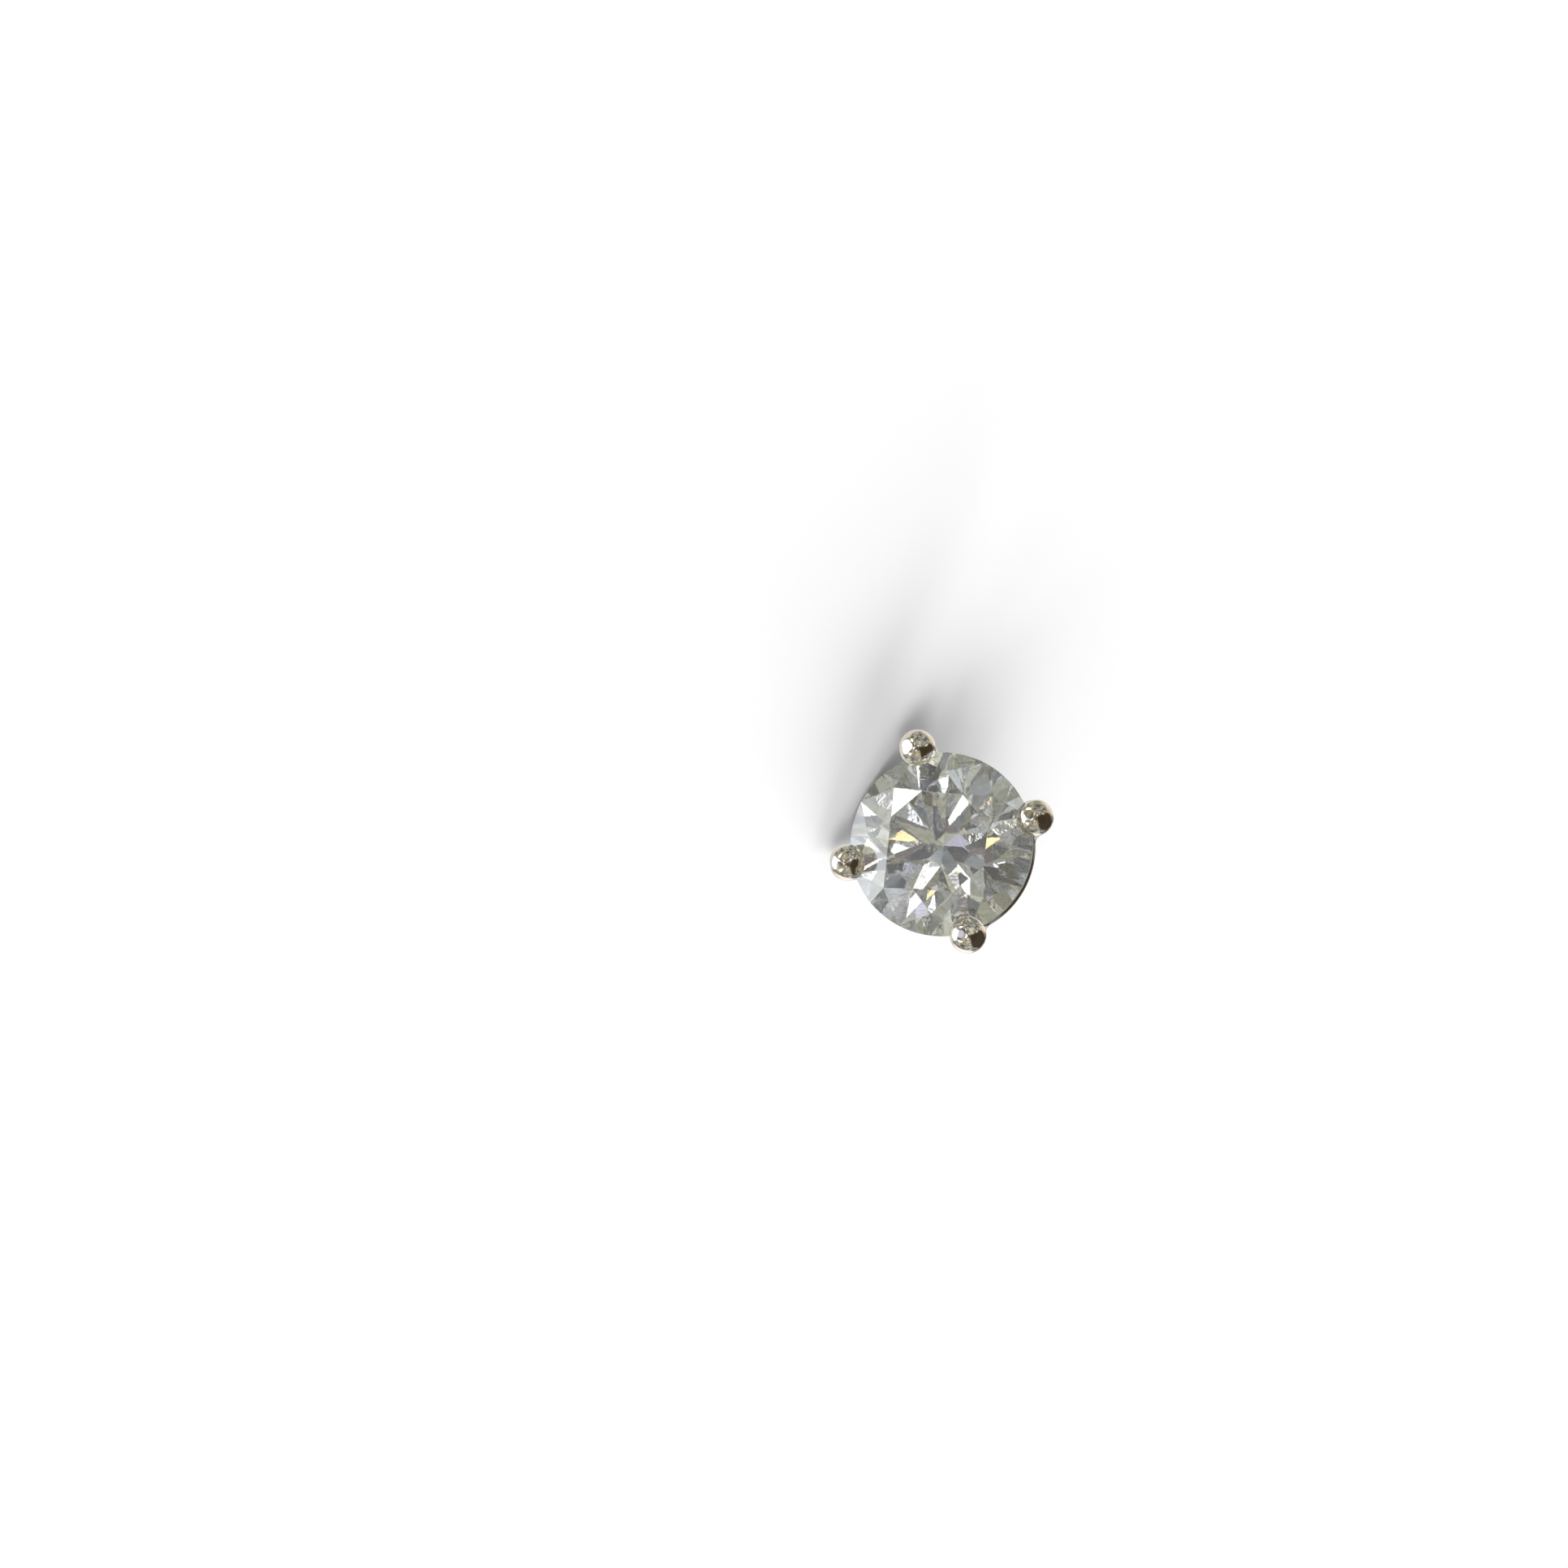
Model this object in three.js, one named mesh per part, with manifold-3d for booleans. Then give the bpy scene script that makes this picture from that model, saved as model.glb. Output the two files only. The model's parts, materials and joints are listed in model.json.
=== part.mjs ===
// A four-prong solitaire stud earring, lying on its side.
//
// Millimetres, +Z up. The earring is built upright in its own frame, with the stone's
// table facing +Z, the girdle plane at z = 0 and the post running down -Z. The last
// group lays it down: the table then faces -Y and a little upwards, and the earring
// rests on its gallery rail and on the end of its post.

import * as THREE from "three";
import { ConvexGeometry } from "three/addons/geometries/ConvexGeometry.js";
import { mergeVertices } from "three/addons/utils/BufferGeometryUtils.js";
import Module from "manifold-3d";

const wasm = await Module();
wasm.setup();

// ---- Driving dimensions ---------------------------------------------------------

// Round brilliant
const STONE_R = 2.25;
const TABLE_SHARE = 0.575; // table's corners, as a share of the radius
const CROWN_DEG = 34.5;
const PAVILION_DEG = 40.9;
const STAR_SHARE = 0.52; // star facets' reach from the table to the girdle
const LOWER_HALF_SHARE = 0.77; // lower halves' reach from the girdle to the culet
const GIRDLE_HALF = 0.08; // half of the girdle's height where two facets meet on it
const MAINS = 8; // bezel facets, and as many pavilion mains
const GIRDLE_SIDES = 64;
const STONE_TURN_DEG = 180 / GIRDLE_SIDES; // a flat of the girdle faces down
const SEAT_SCALE = 1.016; // the seats are cut with a stone this much larger

// Basket: prongs, gallery rail, base and post, soldered into one
const PRONG_WIRE_R = 0.4;
const BEAD_R = 0.45;
const BEAD_Z = 0.3;
// each prong as its maker bent it: where it stands and how far out its tip is
const PRONGS = [
  { deg: 48.2, tipR: 2.35 },
  { deg: 135.4, tipR: 2.41 },
  { deg: 224.4, tipR: 2.41 },
  { deg: 312.2, tipR: 2.32 },
];
const PRONG_FOOT = { r: 1.12, z: -2.65 };
const PRONG_WAIST = { r: 2.12, z: -1.0 }; // the bend's control point
const RAIL = { r: 1.95, z: -0.85, wireR: 0.25 };
const BASE = { r: 1.4, top: -2.34, bottom: -2.9, round: 0.18 };
const POST_R = 0.42;
const POST_LENGTH = 9.5;
const SOLDER_FILLET = 0.22;
const NOTCH = { fromTip: 2.5, floorHalf: 0.14, mouthHalf: 0.28, depth: 0.07 };
const TIP = { length: 0.45, shoulder: 0.14, shoulderR: 0.33, flatR: 0.24 };

// ---- Smoothness -----------------------------------------------------------------

const PRONG_SIDES = 16;
const PRONG_STEPS = 8;
const RAIL_SIDES = 10;
const RAIL_STEPS = 48;
const TURNED_SIDES = 32;
const FILLET_STEPS = 3;
const WELD = 1e-5;
const BALANCE_Z = -2.6; // the earring balances about here along its post
const REST_ROUNDS = 6;

const METAL = new THREE.MeshStandardMaterial({ color: 0xd9d2c4, roughness: 0.12, metalness: 1 });
const DIAMOND = new THREE.MeshStandardMaterial({ color: 0xe4e4dd, roughness: 0.02, metalness: 0 });

// ---- Helpers --------------------------------------------------------------------

const rad = THREE.MathUtils.degToRad;

/** The point at radius r, angle a (radians) about the post, and height z. */
const polar = (r, a, z) => new THREE.Vector3(r * Math.cos(a), r * Math.sin(a), z);

/** A closed three.js geometry as a manifold solid. */
function solid(geometry) {
  const bare = geometry.clone();
  bare.deleteAttribute("normal");
  bare.deleteAttribute("uv");
  const merged = mergeVertices(bare, WELD);
  return new wasm.Manifold(
    new wasm.Mesh({
      numProp: 3,
      vertProperties: new Float32Array(merged.attributes.position.array),
      triVerts: new Uint32Array(merged.index.array),
    }),
  );
}

/** A manifold solid as a three.js geometry. */
function geometryOf(body) {
  const mesh = body.getMesh();
  const geometry = new THREE.BufferGeometry();
  geometry.setAttribute("position", new THREE.BufferAttribute(mesh.vertProperties, mesh.numProp));
  geometry.setIndex(new THREE.BufferAttribute(mesh.triVerts, 1));
  geometry.computeVertexNormals();
  return geometry;
}

const union = (bodies) => bodies.reduce((sum, body) => sum.add(body));

/** A turned piece about the post's line. The profile is [radius, z] rows, top to bottom. */
function turned(profile) {
  const points = profile.map(([r, z]) => new THREE.Vector2(r, z));
  const lathe = new THREE.LatheGeometry(points.reverse(), TURNED_SIDES);
  return lathe.rotateX(Math.PI / 2);
}

// ---- Stone ----------------------------------------------------------------------

/** Height at (r cos a, r sin a) of the plane through three points. */
function planeHeight([p, q, s], r, a) {
  const plane = new THREE.Plane().setFromCoplanarPoints(p, q, s);
  const { x, y } = polar(r, a, 0);
  return -(plane.constant + plane.normal.x * x + plane.normal.y * y) / plane.normal.z;
}

/** The girdle's edge on one side of the stone, where its sixteen half facets cut the round. */
function girdleEdge(tipR, tipZ, cornerZ) {
  const half = Math.PI / MAINS;
  const points = [];
  for (let i = 0; i < GIRDLE_SIDES; i++) {
    const a = (i * 2 * Math.PI) / GIRDLE_SIDES;
    const sector = Math.floor(a / half + 1e-9);
    const ends = [sector, sector + 1].map((k) => k * half);
    const tipAngle = sector % 2 ? ends[0] : ends[1];
    const facet = [polar(tipR, tipAngle, tipZ), ...ends.map((e) => polar(STONE_R, e, cornerZ))];
    points.push(polar(STONE_R, a, planeHeight(facet, STONE_R, a)));
  }
  return points;
}

/** A round brilliant: the convex body of its facets' corners. */
function brilliant() {
  const crown = Math.tan(rad(CROWN_DEG));
  const pavilion = Math.tan(rad(PAVILION_DEG));
  const half = Math.PI / MAINS;
  const tableR = TABLE_SHARE * STONE_R;
  const tableZ = GIRDLE_HALF + (STONE_R - tableR) * crown;
  const tableEdgeR = tableR * Math.cos(half);
  const starR = tableEdgeR + STAR_SHARE * (STONE_R - tableEdgeR);
  const starZ = GIRDLE_HALF + (STONE_R - starR * Math.cos(half)) * crown;
  const lowerR = (1 - LOWER_HALF_SHARE) * STONE_R;
  const lowerZ = -GIRDLE_HALF - (STONE_R - lowerR * Math.cos(half)) * pavilion;
  const culetZ = -GIRDLE_HALF - STONE_R * pavilion;
  const corners = [
    new THREE.Vector3(0, 0, culetZ),
    ...girdleEdge(starR, starZ, GIRDLE_HALF),
    ...girdleEdge(lowerR, lowerZ, -GIRDLE_HALF),
  ];
  for (let k = 0; k < MAINS; k++) {
    const main = 2 * k * half;
    const between = main + half;
    corners.push(polar(tableR, main, tableZ));
    corners.push(polar(starR, between, starZ));
    corners.push(polar(lowerR, between, lowerZ));
  }
  return new ConvexGeometry(corners).rotateZ(rad(STONE_TURN_DEG));
}

// ---- Basket, with its post ------------------------------------------------------

/** One prong: a round wire bent outward from the base, with a domed tip. */
function prong({ deg, tipR }) {
  const a = rad(deg);
  const section = new THREE.Shape().absarc(0, 0, PRONG_WIRE_R, 0, 2 * Math.PI, false);
  const path = new THREE.QuadraticBezierCurve3(
    polar(PRONG_FOOT.r, a, PRONG_FOOT.z),
    polar(PRONG_WAIST.r, a, PRONG_WAIST.z),
    polar(tipR, a, BEAD_Z),
  );
  const wire = new THREE.ExtrudeGeometry(section, {
    steps: PRONG_STEPS,
    curveSegments: PRONG_SIDES / 2,
    extrudePath: path,
  });
  const bead = new THREE.SphereGeometry(BEAD_R, PRONG_SIDES, PRONG_SIDES / 2);
  const tip = polar(tipR, a, BEAD_Z);
  bead.rotateX(Math.PI / 2).rotateZ(a).translate(tip.x, tip.y, tip.z);
  return solid(wire).add(solid(bead));
}

function galleryRail() {
  const rail = new THREE.TorusGeometry(RAIL.r, RAIL.wireR, RAIL_SIDES, RAIL_STEPS);
  return rail.rotateZ(Math.PI / RAIL_STEPS).translate(0, 0, RAIL.z);
}

function base() {
  return turned([
    [0, BASE.top],
    [BASE.r - BASE.round, BASE.top],
    [BASE.r, BASE.top - BASE.round],
    [BASE.r, BASE.bottom + BASE.round],
    [BASE.r - BASE.round, BASE.bottom],
    [0, BASE.bottom],
  ]);
}

/** The post's [radius, z] rows where solder rounds it into the base: a quarter circle. */
function solderFillet() {
  return Array.from({ length: FILLET_STEPS + 1 }, (_, i) => {
    const a = (i / FILLET_STEPS) * (Math.PI / 2);
    const r = POST_R + SOLDER_FILLET * (1 - Math.sin(a));
    return [r, BASE.bottom - SOLDER_FILLET * (1 - Math.cos(a))];
  });
}

function post() {
  const tipZ = BASE.bottom - POST_LENGTH;
  const notchZ = tipZ + NOTCH.fromTip;
  const notchR = POST_R - NOTCH.depth;
  return turned([
    [0, BASE.bottom + BASE.round],
    [POST_R + SOLDER_FILLET, BASE.bottom + BASE.round],
    ...solderFillet(),
    [POST_R, notchZ + NOTCH.mouthHalf],
    [notchR, notchZ + NOTCH.floorHalf],
    [notchR, notchZ - NOTCH.floorHalf],
    [POST_R, notchZ - NOTCH.mouthHalf],
    [POST_R, tipZ + TIP.length],
    [TIP.shoulderR, tipZ + TIP.shoulder],
    [TIP.flatR, tipZ],
    [0, tipZ],
  ]);
}

/** The soldered metal, with a seat for the stone cut into each prong. */
function basketAndPost() {
  const round = [galleryRail(), base(), post()].map(solid);
  const metal = union([...PRONGS.map(prong), ...round]);
  const seat = solid(brilliant().scale(SEAT_SCALE, SEAT_SCALE, SEAT_SCALE));
  return geometryOf(metal.subtract(seat));
}

// ---- Assembly -------------------------------------------------------------------

function piece(name, geometry, material) {
  const mesh = new THREE.Mesh(geometry, material);
  mesh.name = name;
  return mesh;
}

/**
 * How far the line that the earring lies on climbs from the post's tip to the head: the
 * line below every point of the metal that touches it on both sides of the balance point.
 */
function restTilt(geometry) {
  const points = geometry.attributes.position;
  let tilt = 0;
  for (let round = 0; round < REST_ROUNDS; round++) {
    const lowest = [Infinity, Infinity];
    const touch = [];
    for (let i = 0; i < points.count; i++) {
      const side = points.getZ(i) > BALANCE_Z ? 0 : 1;
      const height = points.getY(i) * Math.cos(tilt) + points.getZ(i) * Math.sin(tilt);
      if (height < lowest[side]) {
        lowest[side] = height;
        touch[side] = new THREE.Vector2(points.getZ(i), points.getY(i));
      }
    }
    const [head, tip] = touch;
    tilt = -Math.atan2(head.y - tip.y, head.x - tip.x);
  }
  return tilt;
}

const basket = basketAndPost();
const upright = new THREE.Group();
upright.add(piece("basket_and_post", basket, METAL));
upright.add(piece("round_brilliant", brilliant(), DIAMOND));
upright.rotation.x = Math.PI / 2 - restTilt(basket);

const lying = new THREE.Group();
lying.add(upright);
lying.updateMatrixWorld(true);
const box = new THREE.Box3().setFromObject(lying, true);
const middle = box.getCenter(new THREE.Vector3());
upright.position.set(-middle.x, -middle.y, -box.min.z);

export default lying;
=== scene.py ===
"""A four-prong solitaire stud earring, lying on a pale floor.

The earring is modelled upright in its own frame, in millimetres: the stone's girdle plane
is z = 0, the table faces +z and the post runs down -z. EarringFrame lays each finished
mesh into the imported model's frame, in metres.
"""

import json
import logging
import math
from dataclasses import dataclass
from enum import Enum
from typing import Callable

import bpy
import numpy as np
from mathutils import Matrix, Vector


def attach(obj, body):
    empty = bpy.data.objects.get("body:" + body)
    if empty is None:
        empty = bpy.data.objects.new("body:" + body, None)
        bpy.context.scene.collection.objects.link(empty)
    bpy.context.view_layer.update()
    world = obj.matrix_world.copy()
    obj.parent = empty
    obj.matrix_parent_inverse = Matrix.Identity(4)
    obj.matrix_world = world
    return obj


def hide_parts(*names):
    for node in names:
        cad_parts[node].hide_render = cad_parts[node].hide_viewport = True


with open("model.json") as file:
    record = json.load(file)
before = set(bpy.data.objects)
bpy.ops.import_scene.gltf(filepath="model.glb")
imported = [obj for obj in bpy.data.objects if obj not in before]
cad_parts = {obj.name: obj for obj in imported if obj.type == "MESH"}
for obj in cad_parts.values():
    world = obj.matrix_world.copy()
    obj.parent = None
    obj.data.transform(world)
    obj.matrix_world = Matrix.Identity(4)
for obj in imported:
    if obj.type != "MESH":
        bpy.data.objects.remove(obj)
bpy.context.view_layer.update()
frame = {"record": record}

LOG = logging.getLogger("stud_earring")
ROOT = "root"
MM = 0.001
TAU = 2 * math.pi

Rows = np.ndarray
Field = Callable[[Rows], Rows]


class Slot(Enum):
    """The record's material slots."""

    METAL = "white_gold"
    STONE = "diamond"


# ---- Frames and meshes ----------------------------------------------------------------------


@dataclass(frozen=True)
class EarringFrame:
    """Where the earring lies: from its own upright millimetres to the row frame's metres."""

    origin: Rows
    axes: Rows

    @classmethod
    def from_record(cls, record: dict, tip_depth: float) -> "EarringFrame":
        """Reads the post's end and line from the record's post_tip mount.

        Args:
            record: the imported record.
            tip_depth: how far the post's end lies below the girdle plane, in mm.

        Returns:
            The frame whose rows of axes are across, over and outward.
        """
        tip = next(m for m in record["mounts"] if m["name"] == "post_tip")
        outward = -np.array(tip["axis"], float)
        outward /= np.linalg.norm(outward)
        across = np.array([1.0, 0.0, 0.0])
        over = np.cross(outward, across)
        origin = np.array(tip["pos_m"], float) + outward * tip_depth * MM
        return cls(origin, np.stack([across, over, outward]))

    def place(self, points: Rows) -> Rows:
        """Points in upright millimetres, as rows, to the row frame's metres."""
        return self.origin + (points @ self.axes) * MM

    def direction(self, vector: Rows) -> Rows:
        """A direction in the upright frame, turned into the row frame."""
        return np.asarray(vector, float) @ self.axes


@dataclass
class Surface:
    """Vertices as rows of millimetres, and faces as rows or lists of vertex numbers."""

    points: Rows
    faces: list[list[int]]

    def moved(self, offset: Rows) -> "Surface":
        """The same surface, shifted by offset."""
        return Surface(self.points + offset, self.faces)

    @staticmethod
    def joined(parts: list["Surface"]) -> "Surface":
        """Several surfaces as one list of vertices and one of faces.

        Args:
            parts: the surfaces, which may cross each other.

        Returns:
            One surface that holds them all.
        """
        starts = np.cumsum([0] + [len(p.points) for p in parts])
        faces = [[int(v + s) for v in f] for p, s in zip(parts, starts) for f in p.faces]
        return Surface(np.concatenate([p.points for p in parts]), faces)

    def mesh(self, name: str) -> bpy.types.Mesh:
        """The surface as a Blender mesh, still in millimetres."""
        mesh = bpy.data.meshes.new(name)
        mesh.from_pydata(self.points.tolist(), [], self.faces)
        mesh.validate()
        return mesh


def tube_faces(rings: int, sides: int, closed: bool) -> list[list[int]]:
    """Quads that join rings of vertices, ring after ring, with flat caps on open ends.

    Args:
        rings: how many rings there are.
        sides: how many vertices each ring has, in order around it.
        closed: whether the last ring joins the first, as on a ring's tube.

    Returns:
        The faces, pointing outwards where the rings run counterclockwise about the path.
    """
    ring = np.arange(rings if closed else rings - 1)[:, None]
    side = np.arange(sides)[None, :]
    after = (ring + 1) % rings
    nxt = (side + 1) % sides
    corners = [ring * sides + side, ring * sides + nxt, after * sides + nxt, after * sides + side]
    quads = np.stack([np.broadcast_to(c, (len(ring), sides)) for c in corners], axis=-1)
    faces = quads.reshape(-1, 4).tolist()
    if not closed:
        last = (rings - 1) * sides
        faces.append(list(range(sides))[::-1])
        faces.append([last + i for i in range(sides)])
    return faces


def turned(profile: Rows, sides: int) -> Surface:
    """A profile of (radius, z) rows turned about the post's line: (r cos a, r sin a, z).

    Args:
        profile: rows from the lowest point to the highest, with no row on the axis.
        sides: vertices around.

    Returns:
        The closed surface, with a flat cap at each end.
    """
    a = np.arange(sides) * TAU / sides
    r, z = profile[:, :1], profile[:, 1:]
    grid = np.stack([r * np.cos(a), r * np.sin(a), z + 0 * a], axis=-1)
    return Surface(grid.reshape(-1, 3), tube_faces(len(profile), sides, closed=False))


def swept(path: Rows, normal: Rows, section: Rows, closed: bool = False) -> Surface:
    """A section carried along a path that lies in one plane.

    At each path point the section's first coordinate runs along the plane's normal and its
    second along tangent x normal, which stays in the plane.

    Args:
        path: the path's points, as rows.
        normal: the unit normal of the path's plane.
        section: (n, 2) for one section, or (path points, n, 2) for one at each point.
        closed: whether the path joins up.

    Returns:
        The swept surface.
    """
    if closed:
        tangent = np.roll(path, -1, axis=0) - np.roll(path, 1, axis=0)
    else:
        tangent = np.gradient(path, axis=0)
    tangent /= np.linalg.norm(tangent, axis=1, keepdims=True)
    beside = np.cross(tangent, normal)
    section = np.broadcast_to(section, (len(path), *section.shape[-2:]))
    grid = (
        path[:, None]
        + section[..., :1] * normal
        + section[..., 1:] * beside[:, None]
    )
    return Surface(grid.reshape(-1, 3), tube_faces(len(path), section.shape[1], closed))


def circle(radius: float, sides: int) -> Rows:
    """A circle's points as (n, 2) rows, radius (cos a, sin a)."""
    a = np.arange(sides) * TAU / sides
    return radius * np.stack([np.cos(a), np.sin(a)], axis=-1)


def polar(radius: Rows | float, angle: Rows | float, height: Rows | float) -> Rows:
    """Points at a radius and an angle about the post's line, at a height: one row each."""
    r, a, z = np.broadcast_arrays(radius, angle, height)
    return np.stack([r * np.cos(a), r * np.sin(a), z], axis=-1).astype(float)


class Workpiece:
    """A mesh on the bench, in millimetres, that modifiers finish before it is laid in place."""

    SLOPE_STEP = 1e-3  # mm between the two distances that measure a slope
    LEAST_SLOPE = 0.3  # a flatter slope is taken for this one

    def __init__(self, name: str, surface: Surface) -> None:
        """Puts the surface on the bench under a name."""
        self.obj = bpy.data.objects.new(name, surface.mesh(name))
        bpy.context.scene.collection.objects.link(self.obj)

    def bake(self) -> None:
        """Applies every modifier to the mesh."""
        graph = bpy.context.evaluated_depsgraph_get()
        mesh = bpy.data.meshes.new_from_object(self.obj.evaluated_get(graph))
        self.obj.modifiers.clear()
        self.obj.data = mesh

    def remesh(self, voxel: float) -> None:
        """Joins crossing shells into one skin of even quads, voxel mm across."""
        remesh = self.obj.modifiers.new("join", "REMESH")
        remesh.mode = "VOXEL"
        remesh.voxel_size = voxel
        self.bake()

    def combine(self, surface: Surface, operation: str) -> None:
        """Adds or cuts away another closed surface.

        Args:
            surface: the other surface.
            operation: UNION or DIFFERENCE.
        """
        tool = Workpiece("tool", surface)
        boolean = self.obj.modifiers.new("combine", "BOOLEAN")
        boolean.operation = operation
        boolean.solver = "EXACT"
        boolean.object = tool.obj
        self.bake()
        bpy.data.objects.remove(tool.obj)

    def points(self) -> Rows:
        """The mesh's vertices as rows."""
        co = np.empty(len(self.obj.data.vertices) * 3)
        self.obj.data.vertices.foreach_get("co", co)
        return co.reshape(-1, 3)

    def set_points(self, points: Rows) -> None:
        """Moves the mesh's vertices to rows of points."""
        self.obj.data.vertices.foreach_set("co", points.astype(np.float32).ravel())
        self.obj.data.update()

    def settle(self, distance: Field, rounds: int) -> None:
        """Draws the vertices onto a surface given as a signed distance: p - d(p) grad d(p).

        Args:
            distance: the signed distance in mm at rows of points.
            rounds: how many times the step is taken.
        """
        p = self.points()
        step = self.SLOPE_STEP
        for _ in range(rounds):
            d = distance(p)
            slope = np.stack(
                [(distance(p + step * axis) - d) / step for axis in np.eye(3)], axis=-1
            )
            length = np.maximum(np.linalg.norm(slope, axis=1, keepdims=True), self.LEAST_SLOPE)
            p = p - d[:, None] * slope / length**2
        self.set_points(p)

    def lay(self, place: EarringFrame, crease_deg: float | None) -> bpy.types.Object:
        """Lays the finished mesh in the row frame, with smooth shading up to a crease.

        Args:
            place: the frame to lay it in.
            crease_deg: edges sharper than this stay sharp; None keeps every facet flat.

        Returns:
            The finished object, at the origin, with its place in its mesh.
        """
        mesh = self.obj.data
        self.set_points(place.place(self.points()))
        smooth = np.full(len(mesh.polygons), crease_deg is not None)
        mesh.polygons.foreach_set("use_smooth", smooth)
        if crease_deg is not None:
            mesh.set_sharp_from_angle(angle=math.radians(crease_deg))
        mesh.update()
        return self.obj


# ---- Finishes -------------------------------------------------------------------------------


class Nodes:
    """A short way to add nodes to a material or world."""

    def __init__(self, tree: bpy.types.NodeTree) -> None:
        """Starts from an empty tree."""
        tree.nodes.clear()
        self.tree = tree

    def add(self, kind: str, **values: object) -> bpy.types.Node:
        """Adds one node.

        Args:
            kind: the node's type, without its ShaderNode prefix.
            values: its properties, or its inputs by name with spaces as underscores.

        Returns:
            The node.
        """
        node = self.tree.nodes.new("ShaderNode" + kind)
        for key, value in values.items():
            if hasattr(node, key):
                setattr(node, key, value)
            else:
                node.inputs[key.replace("_", " ")].default_value = value
        return node

    def link(self, source: bpy.types.NodeSocket, node: bpy.types.Node, name: str | int) -> None:
        """Joins an output to a node's named or numbered input."""
        self.tree.links.new(source, node.inputs[name])

    def ramp(self, source: bpy.types.NodeSocket, stops: list[tuple]) -> bpy.types.Node:
        """A colour ramp.

        Args:
            source: what drives it.
            stops: (position, colour) for each stop, with four numbers to a colour.

        Returns:
            The ramp node.
        """
        node = self.add("ValToRGB")
        elements = node.color_ramp.elements
        while len(elements) < len(stops):
            elements.new(0.5)
        for element, (position, colour) in zip(elements, stops):
            element.position = position
            element.color = colour
        self.link(source, node, 0)
        return node

    def blend(
        self, factor: bpy.types.NodeSocket, first: bpy.types.NodeSocket, second: tuple
    ) -> bpy.types.NodeSocket:
        """Lays a colour over another.

        Args:
            factor: how much of the second shows.
            first: the colour below.
            second: the colour laid over it.

        Returns:
            The mixed colour.
        """
        mix = self.add("MixRGB", Color2=second)
        self.link(factor, mix, "Fac")
        self.link(first, mix, "Color1")
        return mix.outputs["Color"]


def grey(value: float) -> tuple[float, float, float, float]:
    """An opaque grey."""
    return (value, value, value, 1.0)


@dataclass(frozen=True)
class PolishedWhiteGold:
    """Warm white gold polished by hand: bright, with faint buffing marks and soft smears."""

    name: str = "polished_white_gold"
    light: tuple = (0.87, 0.82, 0.74, 1.0)
    dull: tuple = (0.74, 0.68, 0.58, 1.0)
    roughness: tuple = (0.07, 0.17)
    smear_size: float = 0.9  # this size and those below are in mm
    smear_dull_to_light: tuple = (0.35, 0.62)  # where the smears' noise turns, from 0 to 1
    smear_rough_to_smooth: tuple = (0.35, 0.65)
    mark_size: float = 0.15
    mark_stretch: float = 4.0
    mark_strength: float = 0.35
    mark_depth: float = 0.004

    def material(self) -> bpy.types.Material:
        """Builds the metal.

        Returns:
            A metallic Principled surface whose colour and roughness wander with the smears,
            and whose normal carries the buffing marks.
        """
        material = bpy.data.materials.new(self.name)
        material.use_nodes = True
        n = Nodes(material.node_tree)
        place = n.add("TexCoord")
        smears = n.add("TexNoise", Scale=1 / (self.smear_size * MM), Detail=4.0, Roughness=0.55)
        n.link(place.outputs["Object"], smears, "Vector")
        at_dull, at_light = self.smear_dull_to_light
        colour = n.ramp(smears.outputs["Fac"], [(at_dull, self.dull), (at_light, self.light)])
        at_rough, at_smooth = self.smear_rough_to_smooth
        low, high = self.roughness
        rough = n.ramp(smears.outputs["Fac"], [(at_rough, grey(high)), (at_smooth, grey(low))])
        stretch = n.add("Mapping")
        stretch.inputs["Scale"].default_value = (1.0, 1 / self.mark_stretch, 1.0)
        n.link(place.outputs["Object"], stretch, "Vector")
        marks = n.add("TexNoise", Scale=1 / (self.mark_size * MM), Detail=1.5)
        n.link(stretch.outputs["Vector"], marks, "Vector")
        bump = n.add("Bump", Strength=self.mark_strength, Distance=self.mark_depth * MM)
        n.link(marks.outputs["Fac"], bump, "Height")
        metal = n.add("BsdfPrincipled", Metallic=1.0)
        n.link(colour.outputs["Color"], metal, "Base Color")
        n.link(rough.outputs["Color"], metal, "Roughness")
        n.link(bump.outputs["Normal"], metal, "Normal")
        out = n.add("OutputMaterial")
        n.link(metal.outputs[0], out, "Surface")
        return material


@dataclass(frozen=True)
class CutDiamond:
    """Diamond with a faint green-grey body, a little haze, and grain that bends its light."""

    name: str = "cut_diamond"
    colour: tuple = (0.93, 0.94, 0.915, 1.0)
    ior: float = 2.417
    clear: float = 0.95  # the rest is haze
    grain_size: float = 0.28
    grain_depth: float = 0.0016

    def material(self) -> bpy.types.Material:
        """Builds the stone's body.

        Returns:
            Refracting glass with diamond's index, whose normal wanders with the grain.
        """
        material = bpy.data.materials.new(self.name)
        material.use_nodes = True
        n = Nodes(material.node_tree)
        place = n.add("TexCoord")
        grain = n.add("TexNoise", Scale=1 / (self.grain_size * MM), Detail=3.0, Roughness=0.6)
        n.link(place.outputs["Object"], grain, "Vector")
        bump = n.add("Bump", Strength=1.0, Distance=self.grain_depth * MM)
        n.link(grain.outputs["Fac"], bump, "Height")
        body = n.add(
            "BsdfPrincipled",
            Base_Color=self.colour,
            Roughness=0.0,
            IOR=self.ior,
            Transmission_Weight=self.clear,
        )
        n.link(bump.outputs["Normal"], body, "Normal")
        out = n.add("OutputMaterial")
        n.link(body.outputs[0], out, "Surface")
        return material


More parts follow.
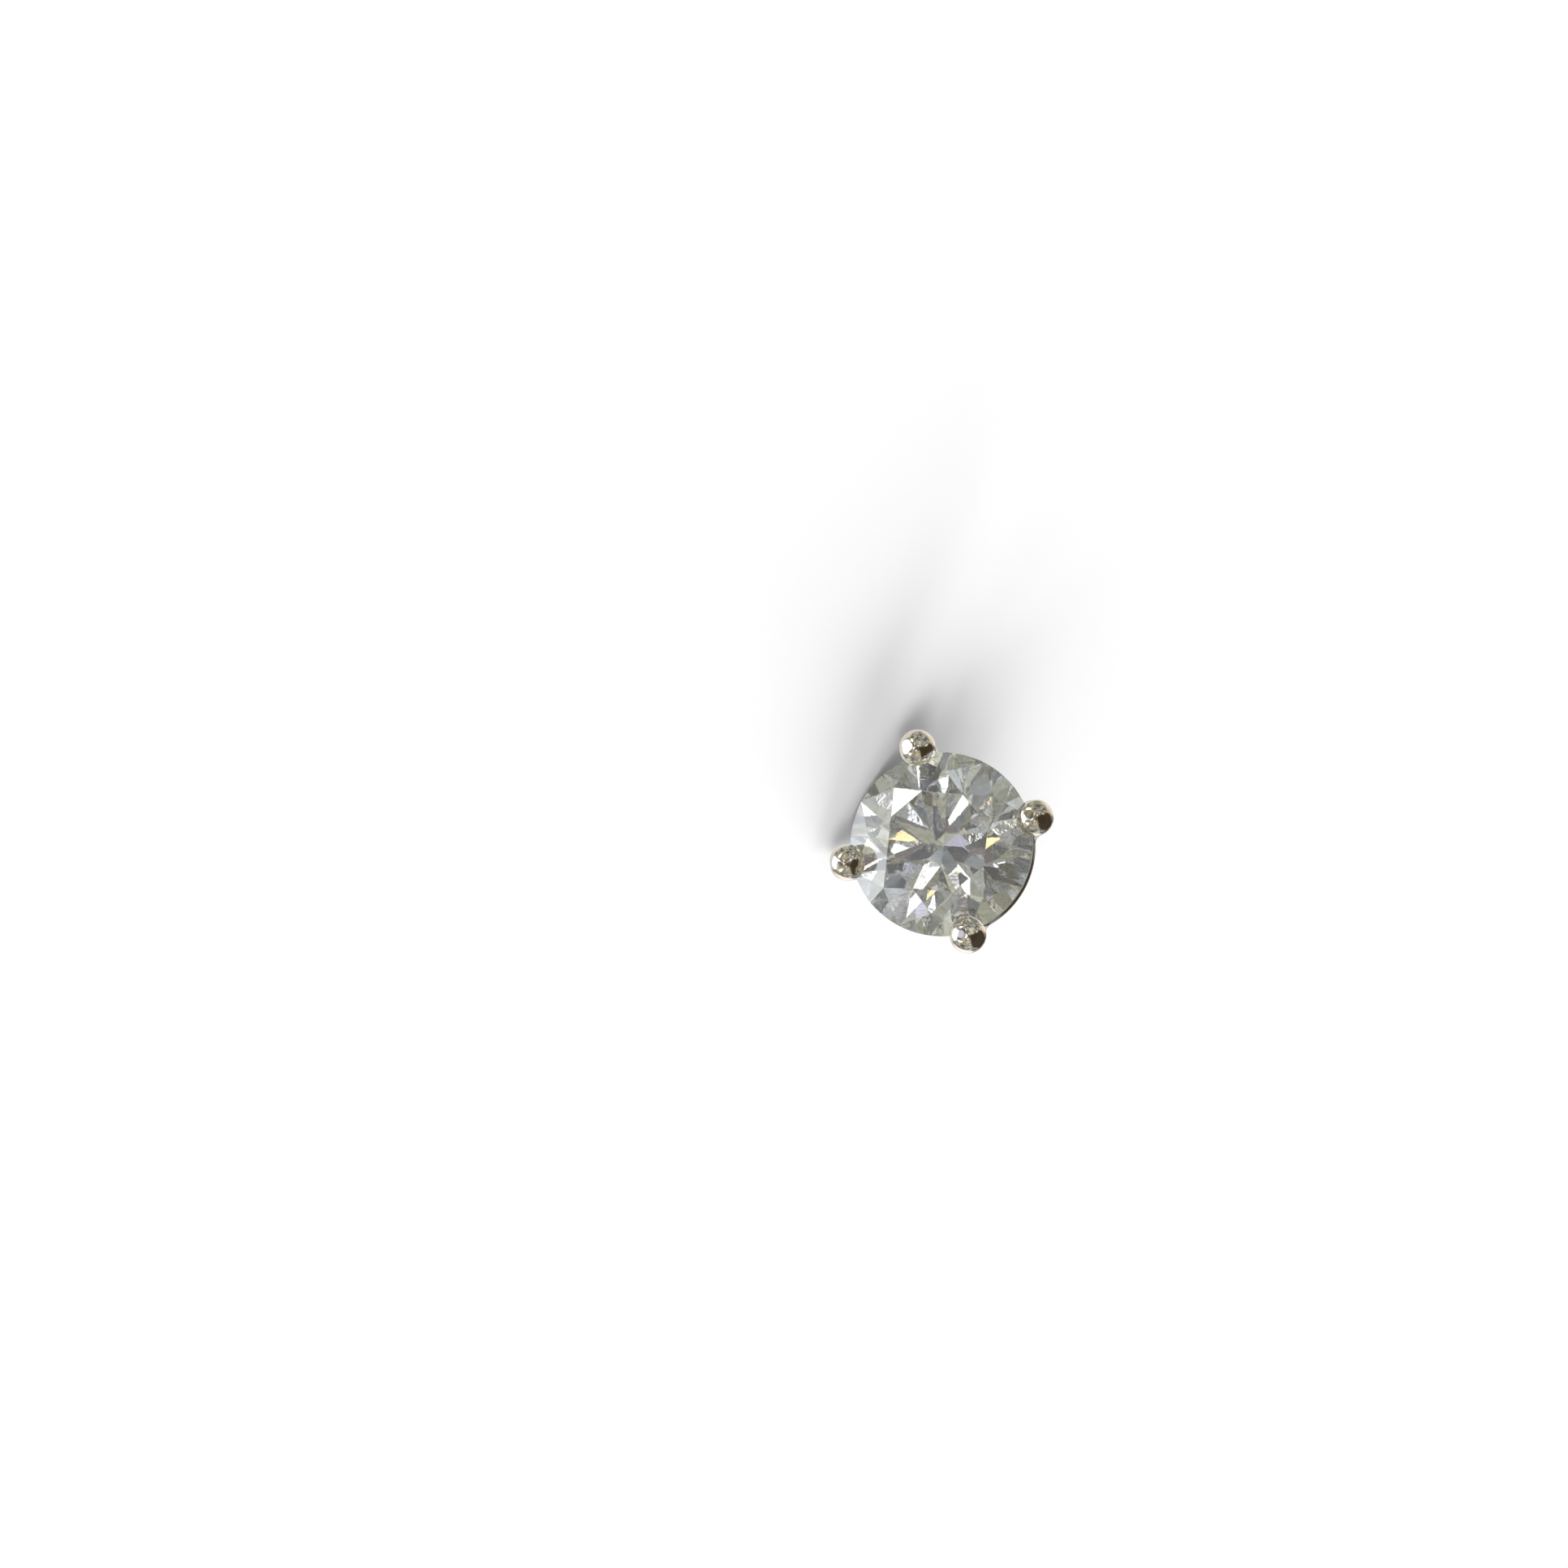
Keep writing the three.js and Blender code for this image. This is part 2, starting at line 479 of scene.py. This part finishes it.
@dataclass(frozen=True)
class BrutedGirdle:
    """The girdle's ground rim: diamond that is frosted rather than clear."""

    name: str = "bruted_girdle"
    colour: tuple = (0.90, 0.90, 0.88, 1.0)
    ior: float = 2.417
    roughness: float = 0.45

    def material(self) -> bpy.types.Material:
        """Builds the frosted rim.

        Returns:
            Rough refracting glass with diamond's index.
        """
        material = bpy.data.materials.new(self.name)
        material.use_nodes = True
        n = Nodes(material.node_tree)
        rim = n.add(
            "BsdfPrincipled",
            Base_Color=self.colour,
            Roughness=self.roughness,
            IOR=self.ior,
            Transmission_Weight=1.0,
        )
        out = n.add("OutputMaterial")
        n.link(rim.outputs[0], out, "Surface")
        return material


# ---- Stone ----------------------------------------------------------------------------------


@dataclass
class RoundBrilliant:
    """The round brilliant: table, stars, kites and halves, a ground girdle, and the pavilion.

    Sizes are in mm, and the shares are of the radius or of the way that a facet could reach.
    """

    radius: float = 2.25
    table_share: float = 0.575
    crown_deg: float = 34.5
    pavilion_deg: float = 40.9
    star_share: float = 0.52
    lower_half_share: float = 0.77
    girdle_half: float = 0.08
    mains: int = 8
    girdle_sides: int = 128
    turn_deg: float = 180 / 64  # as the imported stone: a flat of its 64-sided girdle faces down

    def __post_init__(self) -> None:
        """Works out the heights and radii of the facets' corners."""
        self.half = math.pi / self.mains
        crown, pavilion = (math.tan(math.radians(a)) for a in (self.crown_deg, self.pavilion_deg))
        self.table_r = self.table_share * self.radius
        self.table_z = self.girdle_half + (self.radius - self.table_r) * crown
        edge_r = self.table_r * math.cos(self.half)
        self.star_r = edge_r + self.star_share * (self.radius - edge_r)
        self.star_z = self.girdle_half + (self.radius - self.star_r * math.cos(self.half)) * crown
        self.lower_r = (1 - self.lower_half_share) * self.radius
        drop = (self.radius - self.lower_r * math.cos(self.half)) * pavilion
        self.lower_z = -self.girdle_half - drop
        self.culet_z = -self.girdle_half - self.radius * pavilion

    def girdle_edge(self, tip_r: float, tip_z: float, corner_z: float) -> Rows:
        """The girdle's edge, where the half facets cut the stone's round side.

        A half facet's plane holds its tip and two corners on the girdle. By symmetry its
        height is linear in the distance along its own middle direction, so between the
        corners the edge dips by that slope times how far the round bulges past the chord.

        Args:
            tip_r: radius of the facet's tip.
            tip_z: height of the facet's tip.
            corner_z: height of its corners on the girdle.

        Returns:
            One row for each of the girdle's sides.
        """
        a = np.arange(self.girdle_sides) * TAU / self.girdle_sides
        sector = np.floor(a / self.half + 1e-9)
        low, high = sector * self.half, (sector + 1) * self.half
        tip_a = np.where(sector % 2 == 0, high, low)
        corner_a = np.where(sector % 2 == 0, low, high)
        tip = polar(tip_r, tip_a, tip_z)
        near = polar(self.radius, tip_a, corner_z)
        far = polar(self.radius, corner_a, corner_z)
        normal = np.cross(near - tip, far - tip)
        flat = polar(self.radius, a, 0.0)
        lift = ((tip - flat) * normal).sum(axis=1) / normal[:, 2]
        return polar(self.radius, a, lift)

    def surface(self) -> Surface:
        """The stone's closed surface, one flat face to a facet.

        Returns:
            The surface. Its last faces are the girdle's.
        """
        sides, mains = self.girdle_sides, self.mains
        step = sides // (2 * mains)
        main = np.arange(mains) * 2 * self.half
        between = main + self.half
        points = np.concatenate([
            polar(self.table_r, main, self.table_z),
            polar(self.star_r, between, self.star_z),
            self.girdle_edge(self.star_r, self.star_z, self.girdle_half),
            self.girdle_edge(self.lower_r, self.lower_z, -self.girdle_half),
            polar(self.lower_r, between, self.lower_z),
            [[0.0, 0.0, self.culet_z]],
        ])
        table, star, top = 0, mains, 2 * mains
        bottom = top + sides
        lower = bottom + sides
        culet = lower + mains
        faces = [[table + k for k in range(mains)]]
        for k in range(mains):
            after, before = (k + 1) % mains, (k - 1) % mains
            at, mid, end = 2 * k * step, (2 * k + 1) * step, (2 * k + 2) * step
            rise = [top + i % sides for i in range(at, mid + 1)]
            fall = [top + i % sides for i in range(mid, end + 1)]
            faces.append([table + k, star + k, table + after])
            faces.append([table + k, star + before, top + at, star + k])
            faces.append([star + k, *rise])
            faces.append([star + k, *fall])
            faces.append([lower + k, *[v + sides for v in rise[::-1]]])
            faces.append([lower + k, *[v + sides for v in fall[::-1]]])
            faces.append([culet, lower + k, bottom + at, lower + before])
        i = np.arange(sides)
        j = (i + 1) % sides
        faces += np.stack([top + i, bottom + i, bottom + j, top + j], axis=-1).tolist()
        turn = math.radians(self.turn_deg)
        cos, sin = math.cos(turn), math.sin(turn)
        spin = np.array([[cos, sin, 0], [-sin, cos, 0], [0, 0, 1]])
        return Surface(points @ spin, faces)

    def larger(self, gap: float) -> Surface:
        """The stone's surface swollen so that its girdle stands out by gap mm."""
        surface = self.surface()
        return Surface(surface.points * (1 + gap / self.radius), surface.faces)

    def build(self, place: EarringFrame) -> bpy.types.Object:
        """Makes the stone and dresses it.

        Args:
            place: the frame to lay it in.

        Returns:
            The stone's object.
        """
        stone = Workpiece("brilliant_cut_stone", self.surface()).lay(place, None)
        stone.data.materials.append(CutDiamond().material())
        stone.data.materials.append(BrutedGirdle().material())
        rim = np.zeros(len(stone.data.polygons), np.int32)
        rim[-self.girdle_sides:] = 1
        stone.data.polygons.foreach_set("material_index", rim)
        return stone


# ---- Basket and post ------------------------------------------------------------------------


@dataclass
class Prong:
    """One prong's place: its angle about the post and how far out its tip stands."""

    deg: float
    tip_r: float


@dataclass
class Basket:
    """The soldered metal: four prongs, the gallery rail, the base and the post.

    Sizes are in mm, heights are from the girdle plane, and foot and waist are (radius, height).
    """

    stone: RoundBrilliant
    prongs: tuple = (
        Prong(48.2, 2.35),
        Prong(135.4, 2.41),
        Prong(224.4, 2.41),
        Prong(312.2, 2.32),
    )
    wire_r: float = 0.4
    bead_r: float = 0.45
    bead_z: float = 0.3
    foot: tuple = (1.12, -2.65)
    waist: tuple = (2.12, -1.0)
    rail_r: float = 1.95
    rail_z: float = -0.85
    rail_wire_r: float = 0.25
    base_r: float = 1.4
    base_top: float = -2.34
    base_bottom: float = -2.9
    base_round: float = 0.18
    post_fillet: float = 0.22
    post_r: float = 0.42
    post_length: float = 9.5
    notch_from_tip: float = 2.5
    notch_half: float = 0.28
    notch_depth: float = 0.07
    tip_length: float = 0.45
    tip_flat_r: float = 0.24
    foot_inset: float = 0.03
    solder: float = 0.03  # k of the smooth least, and about how deep a square joint is filled
    seat_gap: float = 0.012
    voxel: float = 0.032
    path_steps: int = 24
    prong_sides: int = 24
    rail_sides: int = 20
    rail_steps: int = 96
    turned_sides: int = 64
    curve_steps: int = 9
    ball_rings: int = 15
    ball_cap: float = 0.98
    notch_steps: int = 25
    file_marks: int = 7
    file_lift: float = 0.2  # leans the flats towards the front
    file_depth: tuple = (0.945, 0.985)  # how far out the flats lie, as a share of bead_r
    file_edge: float = 0.01
    crease_deg: float = 32
    settle_rounds: int = 3

    @property
    def tip_depth(self) -> float:
        """How far the post's end lies below the girdle plane, in mm."""
        return self.post_length - self.base_bottom

    def prong_path(self, prong: Prong) -> Rows:
        """A prong's middle line: a curve with one bend, (1-t)^2 foot + 2t(1-t) waist + t^2 tip.

        Args:
            prong: which prong.

        Returns:
            The path's points, from the foot to the middle of the domed tip.
        """
        a = math.radians(prong.deg)
        foot = polar(self.foot[0], a, self.foot[1])
        waist = polar(self.waist[0], a, self.waist[1])
        tip = polar(prong.tip_r, a, self.bead_z)
        t = np.linspace(0, 1, self.path_steps)[:, None]
        return (1 - t) ** 2 * foot + 2 * t * (1 - t) * waist + t**2 * tip

    def shells(self) -> Surface:
        """Rough closed shells of the head, which cross where they will be joined.

        Returns:
            Prongs, tips, rail and base as one surface.
        """
        parts = []
        for prong in self.prongs:
            a = math.radians(prong.deg)
            normal = np.array([-math.sin(a), math.cos(a), 0.0])
            path = self.prong_path(prong)
            parts.append(swept(path, normal, circle(self.wire_r, self.prong_sides)))
            lift = np.linspace(-self.ball_cap, self.ball_cap, self.ball_rings)
            ball = np.stack([np.sqrt(1 - lift**2), lift], axis=-1) * self.bead_r
            parts.append(turned(ball, self.prong_sides).moved(path[-1]))
        turns = np.arange(self.rail_steps) * TAU / self.rail_steps
        around = polar(self.rail_r, turns, self.rail_z)
        wire = circle(self.rail_wire_r, self.rail_sides)
        parts.append(swept(around, np.array([0, 0, 1.0]), wire, closed=True))
        base = np.array([[self.base_r, self.base_bottom], [self.base_r, self.base_top]])
        parts.append(turned(base, self.turned_sides))
        return Surface.joined(parts)

    def filed_tip(self, p: Rows, middle: Rows, seed: int) -> Rows:
        """Signed distance to one tip: a ball with the small flats that the file left.

        It is the greatest of |q| - r and q . n - share r for each flat's way n, where q is
        the point less the ball's middle, with the edges rounded as in distance.

        Args:
            p: rows of points.
            middle: the ball's middle.
            seed: which tip, so that each is filed differently.

        Returns:
            One distance for each row.
        """
        rng = np.random.default_rng(seed)
        q = p - middle
        parts = [np.linalg.norm(q, axis=1) - self.bead_r]
        for _ in range(self.file_marks):
            way = rng.normal(size=3)
            way[2] = abs(way[2]) + self.file_lift
            way /= np.linalg.norm(way)
            parts.append(q @ way - rng.uniform(*self.file_depth) * self.bead_r)
        return self.file_edge * np.logaddexp.reduce(np.stack(parts) / self.file_edge, axis=0)

    def distance(self, p: Rows) -> Rows:
        """Signed distance to the head, with solder rounding each joint.

        Each part has its own distance d: a prong's is that to its middle line less the
        wire's radius, cut off just above the base's back, a tip's is filed_tip's, the rail's
        that to its circle less its wire, and the base's that to a disc with a rounded rim.
        Two parts a and b are joined by the smooth least, -k ln(exp(-a/k) + exp(-b/k)).

        Args:
            p: rows of points.

        Returns:
            One distance for each row.
        """
        parts = []
        for seed, prong in enumerate(self.prongs):
            path = self.prong_path(prong)
            start, along = path[:-1], np.diff(path, axis=0)
            best = np.full(len(p), np.inf)
            for s, v in zip(start, along):
                t = np.clip(((p - s) @ v) / (v @ v), 0, 1)
                best = np.minimum(best, np.linalg.norm(p - s - t[:, None] * v, axis=1))
            wire = np.maximum(best - self.wire_r, self.base_bottom + self.foot_inset - p[:, 2])
            parts.append(np.minimum(wire, self.filed_tip(p, path[-1], seed)))
        r = np.linalg.norm(p[:, :2], axis=1)
        parts.append(np.hypot(r - self.rail_r, p[:, 2] - self.rail_z) - self.rail_wire_r)
        middle = 0.5 * (self.base_top + self.base_bottom)
        half = 0.5 * (self.base_top - self.base_bottom)
        out = r - (self.base_r - self.base_round)
        up = np.abs(p[:, 2] - middle) - (half - self.base_round)
        corner = np.hypot(np.maximum(out, 0), np.maximum(up, 0))
        parts.append(corner + np.minimum(np.maximum(out, up), 0) - self.base_round)
        k = self.solder
        return -k * np.logaddexp.reduce(-np.stack(parts) / k, axis=0)

    def post_profile(self) -> Rows:
        """The post's (radius, z) rows from its blunt tip up into the base.

        Returns:
            The profile: a flat end, a rounded nose, the notch as one wave of a cosine, and
            the quarter circle of solder at the base.
        """
        tip_z = -self.tip_depth
        a = np.linspace(0, math.pi / 2, self.curve_steps)
        nose = self.post_r - self.tip_flat_r
        rows = [np.stack([self.tip_flat_r + nose * np.sin(a),
                          tip_z + self.tip_length * (1 - np.cos(a))], axis=-1)]
        notch_z = tip_z + self.notch_from_tip
        z = np.linspace(-1, 1, self.notch_steps)
        dip = self.notch_depth * 0.5 * (1 + np.cos(math.pi * z))
        rows.append(np.stack([self.post_r - dip, notch_z + self.notch_half * z], axis=-1))
        fillet = self.post_fillet
        rows.append(np.stack([self.post_r + fillet * (1 - np.cos(a)),
                              self.base_bottom - fillet * (1 - np.sin(a))], axis=-1))
        inside = self.base_bottom + self.base_round
        rows.append(np.array([[self.post_r + fillet, inside]]))
        return np.concatenate(rows)

    def build(self, place: EarringFrame) -> bpy.types.Object:
        """Makes the metal and dresses it.

        Args:
            place: the frame to lay it in.

        Returns:
            The basket's object.
        """
        head = Workpiece("prong_basket_with_post", self.shells())
        head.remesh(self.voxel)
        head.settle(self.distance, self.settle_rounds)
        head.combine(self.stone.larger(self.seat_gap), "DIFFERENCE")
        head.combine(turned(self.post_profile(), self.turned_sides), "UNION")
        metal = head.lay(place, self.crease_deg)
        metal.data.materials.clear()
        metal.data.materials.append(PolishedWhiteGold().material())
        return metal


# ---- Stage ----------------------------------------------------------------------------------


@dataclass
class Camera:
    """A long lens close to the stone, raised above the floor and turned about its own line."""

    distance: float = 106.5
    lens: float = 100.0
    sensor: float = 36.0
    tilt_deg: float = 10.0
    tilt_towards_deg: float = 88.0
    roll_deg: float = 120.8
    stone_from_middle: tuple = (3.855, -1.474)  # mm to the right of it and above it
    clip: tuple = (0.002, 10.0)

    def build(self, place: EarringFrame) -> bpy.types.Object:
        """Sets the camera off the stone's facing line and points it beside the stone.

        Args:
            place: the frame the earring lies in.

        Returns:
            The camera.
        """
        tilt, towards = math.radians(self.tilt_deg), math.radians(self.tilt_towards_deg)
        lean = np.array([math.cos(towards), math.sin(towards), 0.0])
        beside = np.array([-math.sin(towards), math.cos(towards), 0.0])
        outward = np.array([0.0, 0.0, 1.0])
        back = outward * math.cos(tilt) + lean * math.sin(tilt)
        ahead = lean * math.cos(tilt) - outward * math.sin(tilt)
        turn = towards - math.radians(self.roll_deg)
        right = math.cos(turn) * ahead - math.sin(turn) * beside
        up = math.sin(turn) * ahead + math.cos(turn) * beside
        eye = back * self.distance
        aim = -right * self.stone_from_middle[0] - up * self.stone_from_middle[1]
        back = (eye - aim) / np.linalg.norm(eye - aim)
        right = np.cross(up, back)
        right /= np.linalg.norm(right)
        up = np.cross(back, right)
        data = bpy.data.cameras.new("camera")
        data.lens, data.sensor_width = self.lens, self.sensor
        data.clip_start, data.clip_end = self.clip
        camera = bpy.data.objects.new("camera", data)
        turned_to = np.stack([place.direction(v) for v in (right, up, back)], axis=1)
        stands_at = Matrix.Translation(Vector(place.place(eye)))
        camera.matrix_world = stands_at @ Matrix(turned_to).to_4x4()
        bpy.context.scene.collection.objects.link(camera)
        bpy.context.scene.camera = camera
        return camera


@dataclass(frozen=True)
class Glow:
    """A soft-edged patch of the room's walls that the metal and the stone mirror.

    Its middle lies off_deg from the way the stone faces, towards the upright frame's
    towards_deg about the post.
    """

    towards_deg: float
    off_deg: float
    reach_deg: float
    edge_deg: float
    radiance: float
    colour: tuple = (1.0, 1.0, 1.0)

    def lay(
        self,
        n: Nodes,
        way: bpy.types.NodeSocket,
        below: bpy.types.NodeSocket,
        place: EarringFrame,
    ) -> bpy.types.NodeSocket:
        """Paints the patch over what the room shows below it.

        Args:
            n: the world's nodes.
            way: the direction looked in.
            below: the room's colour so far.
            place: the frame the earring lies in.

        Returns:
            The room's colour with the patch on it.
        """
        towards, off = math.radians(self.towards_deg), math.radians(self.off_deg)
        middle = polar(math.sin(off), towards, math.cos(off))
        dot = n.add("VectorMath", operation="DOT_PRODUCT")
        n.link(way, dot, 0)
        dot.inputs[1].default_value = tuple(place.direction(middle))
        inner, outer = (math.radians(a) for a in (self.reach_deg, self.reach_deg + self.edge_deg))
        edge = n.add("MapRange", interpolation_type="SMOOTHSTEP", clamp=True)
        edge.inputs["From Min"].default_value = math.cos(outer)
        edge.inputs["From Max"].default_value = math.cos(inner)
        n.link(dot.outputs["Value"], edge, "Value")
        light = (*(self.radiance * c for c in self.colour), 1.0)
        return n.blend(edge.outputs["Result"], below, light)


@dataclass(frozen=True)
class BroadLight:
    """A soft light from far off that falls on the floor and draws the earring's shadow.

    Its share is how bright it alone makes a white floor.
    """

    name: str
    azimuth_deg: float
    elevation_deg: float
    spread_deg: float
    share: float

    def build(self) -> None:
        """Hangs the light, which metal and stone don't mirror."""
        az, el = math.radians(self.azimuth_deg), math.radians(self.elevation_deg)
        data = bpy.data.lights.new(self.name, "SUN")
        data.angle = math.radians(self.spread_deg)
        data.energy = self.share * math.pi / math.sin(el)
        away = Vector((math.sin(az) * math.cos(el), -math.cos(az) * math.cos(el), math.sin(el)))
        light = bpy.data.objects.new(self.name, data)
        light.rotation_euler = away.to_track_quat("Z", "Y").to_euler()
        light.visible_glossy = False
        light.visible_transmission = False
        bpy.context.scene.collection.objects.link(light)


@dataclass
class Studio:
    """A pale floor under broad soft lights, in a room that only metal and stone mirror.

    The glows are patches that every such ray meets. The polish_glows lie over them, and only
    rays off an outer surface meet those: light that comes out of the stone doesn't.
    """

    floor_half: float = 1.2
    floor_colour: tuple = (0.92, 0.92, 0.92, 1.0)
    backdrop: float = 1.05
    ambient: float = 0.08
    floor_glow: float = 0.14
    wall_dark: tuple = (0.085, 0.09, 0.10, 1.0)
    wall_mid: tuple = (0.33, 0.335, 0.312, 1.0)
    wall_light: tuple = (0.74, 0.75, 0.71, 1.0)
    tint_cool: tuple = (0.93, 0.97, 1.10, 1.0)
    tint_warm: tuple = (1.05, 1.03, 0.82, 1.0)
    # name, azimuth, elevation and spread in degrees, share
    suns: tuple = (
        BroadLight("back_light", 150, 19, 50, 0.38),
        BroadLight("side_light", 78, 33, 58, 0.26),
        BroadLight("front_light", 30, 22, 45, 0.24),
    )
    wall_patches: float = 4.6
    wall_stops: tuple = (0.36, 0.50, 0.64)
    tint_patches: float = 3.1
    tint_stops: tuple = (0.42, 0.58)
    bounces: int = 32
    mirror_bounces: int = 24
    # towards, off, reach and edge in degrees, radiance, colour
    glows: tuple = (
        Glow(300, 80, 24, 6, 2.4, (0.94, 0.98, 1.05)),
        Glow(260, 66, 12, 4, 0.42, (1.0, 1.02, 0.84)),
        Glow(345, 62, 8, 3, 1.9, (0.93, 0.97, 1.05)),
        Glow(318, 19, 6, 2, 2.0, (0.97, 0.99, 1.02)),
        Glow(300, 36, 6, 2, 0.9, (0.82, 0.80, 1.0)),
        Glow(243, 21, 4, 1.5, 2.2, (1.0, 0.76, 0.40)),
        Glow(152, 21, 3.5, 1, 2.1, (1.0, 0.99, 0.96)),
        Glow(29, 23, 3.5, 1, 2.0, (1.0, 0.95, 0.93)),
        Glow(8, 14, 7, 4, 0.24, (1.0, 0.84, 0.84)),
        Glow(135, 62, 8, 3, 1.5, (1.0, 0.92, 0.78)),
        Glow(150, 118, 16, 8, 0.8, (1.0, 0.84, 0.62)),
        Glow(0, 135, 22, 10, 1.2, (1.0, 0.97, 0.92)),
        Glow(180, 140, 22, 10, 1.0, (1.0, 0.97, 0.92)),
        Glow(270, 140, 35, 15, 0.8, (1.0, 0.98, 0.95)),
        Glow(270, 10, 5, 3, 0.12, (0.9, 0.95, 1.1)),
        Glow(90, 13, 9, 4, 0.11, (1.0, 0.92, 0.90)),
    )
    polish_glows: tuple = (
        Glow(98, 88, 42, 8, 0.07, (1.0, 0.80, 0.60)),
        Glow(92, 134, 16, 6, 0.06, (1.0, 0.80, 0.60)),
        Glow(104, 52, 26, 6, 0.06, (1.0, 0.76, 0.54)),
        Glow(40, 40, 10, 4, 0.62, (1.0, 0.80, 0.46)),
        Glow(296, 52, 11, 3, 1.7, (0.98, 1.0, 1.02)),
        Glow(254, 53, 6, 3, 5.0, (0.98, 1.0, 1.0)),
    )

    def floor(self) -> bpy.types.Object:
        """Lays the floor, a sheet lit a little from below, which metal and stone don't mirror.

        Returns:
            The floor's object.
        """
        h = self.floor_half
        corners = np.array([[-h, -h, 0], [h, -h, 0], [h, h, 0], [-h, h, 0]])
        mesh = bpy.data.meshes.new("floor")
        mesh.from_pydata(corners.tolist(), [], [[0, 1, 2, 3]])
        material = bpy.data.materials.new("pale_floor")
        material.use_nodes = True
        n = Nodes(material.node_tree)
        acrylic = n.add(
            "BsdfPrincipled",
            Base_Color=self.floor_colour,
            Roughness=1.0,
            Specular_IOR_Level=0.0,
            Emission_Color=grey(1.0),
            Emission_Strength=self.floor_glow,
        )
        out = n.add("OutputMaterial")
        n.link(acrylic.outputs[0], out, "Surface")
        mesh.materials.append(material)
        floor = bpy.data.objects.new("floor", mesh)
        floor.visible_glossy = False
        floor.visible_transmission = False
        bpy.context.scene.collection.objects.link(floor)
        return floor

    def room(self, place: EarringFrame) -> None:
        """Fills the world: a pale backdrop, even light on the floor, and the mirrored walls.

        Args:
            place: the frame the earring lies in.
        """
        world = bpy.data.worlds.new("room")
        world.use_nodes = True
        n = Nodes(world.node_tree)
        way = n.add("TexCoord").outputs["Generated"]
        patches = n.add("TexNoise", Scale=self.wall_patches, Detail=1.5, Roughness=0.5)
        n.link(way, patches, "Vector")
        tones = (self.wall_dark, self.wall_mid, self.wall_light)
        plain = n.ramp(patches.outputs["Fac"], list(zip(self.wall_stops, tones)))
        drift = n.add("TexNoise", Scale=self.tint_patches, Detail=1.0)
        n.link(way, drift, "Vector")
        tints = (self.tint_cool, self.tint_warm)
        tint = n.ramp(drift.outputs["Fac"], list(zip(self.tint_stops, tints)))
        tinted = n.add("MixRGB", blend_type="MULTIPLY", Fac=1.0)
        n.link(plain.outputs["Color"], tinted, "Color1")
        n.link(tint.outputs["Color"], tinted, "Color2")
        inside = tinted.outputs["Color"]
        for glow in self.glows:
            inside = glow.lay(n, way, inside, place)
        outside = inside
        for glow in self.polish_glows:
            outside = glow.lay(n, way, outside, place)
        path = n.add("LightPath")
        walls = n.add("MixRGB")
        n.link(path.outputs["Is Transmission Ray"], walls, "Fac")
        n.link(outside, walls, "Color1")
        n.link(inside, walls, "Color2")
        mirrored = n.add("Math", operation="MAXIMUM")
        n.link(path.outputs["Is Glossy Ray"], mirrored, 0)
        n.link(path.outputs["Is Transmission Ray"], mirrored, 1)
        even = n.add("RGB")
        even.outputs[0].default_value = grey(self.ambient)
        seen = n.blend(path.outputs["Is Camera Ray"], even.outputs[0], grey(self.backdrop))
        mix = n.add("MixRGB")
        n.link(mirrored.outputs[0], mix, "Fac")
        n.link(seen, mix, "Color1")
        n.link(walls.outputs["Color"], mix, "Color2")
        light = n.add("Background", Strength=1.0)
        n.link(mix.outputs["Color"], light, "Color")
        out = n.add("OutputWorld")
        n.link(light.outputs[0], out, "Surface")
        bpy.context.scene.world = world

    def build(self, place: EarringFrame) -> bpy.types.Object:
        """Builds floor, room and light.

        Args:
            place: the frame the earring lies in.

        Returns:
            The floor.
        """
        self.room(place)
        for sun in self.suns:
            sun.build()
        scene = bpy.context.scene
        scene.view_settings.view_transform = "Standard"
        scene.cycles.max_bounces = self.bounces
        scene.cycles.transmission_bounces = self.bounces
        scene.cycles.glossy_bounces = self.mirror_bounces
        scene.cycles.caustics_reflective = False
        scene.cycles.caustics_refractive = False
        return self.floor()


# ---- Assembly -------------------------------------------------------------------------------


def mount(piece: bpy.types.Object, node: str) -> None:
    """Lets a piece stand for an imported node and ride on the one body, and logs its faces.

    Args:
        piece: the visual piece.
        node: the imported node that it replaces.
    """
    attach(piece, ROOT)
    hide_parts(node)
    LOG.info("%s: %d faces, for %s", piece.name, len(piece.data.polygons), node)


def main() -> None:
    """Builds the earring and its stage."""
    logging.basicConfig(level=logging.INFO, format="%(name)s: %(message)s")
    stone = RoundBrilliant()
    basket = Basket(stone)
    place = EarringFrame.from_record(frame["record"], basket.tip_depth)
    Camera().build(place)
    mount(stone.build(place), "round_brilliant")
    mount(basket.build(place), "basket_and_post")
    Studio().build(place)
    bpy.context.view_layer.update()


if __name__ == "__main__":
    main()
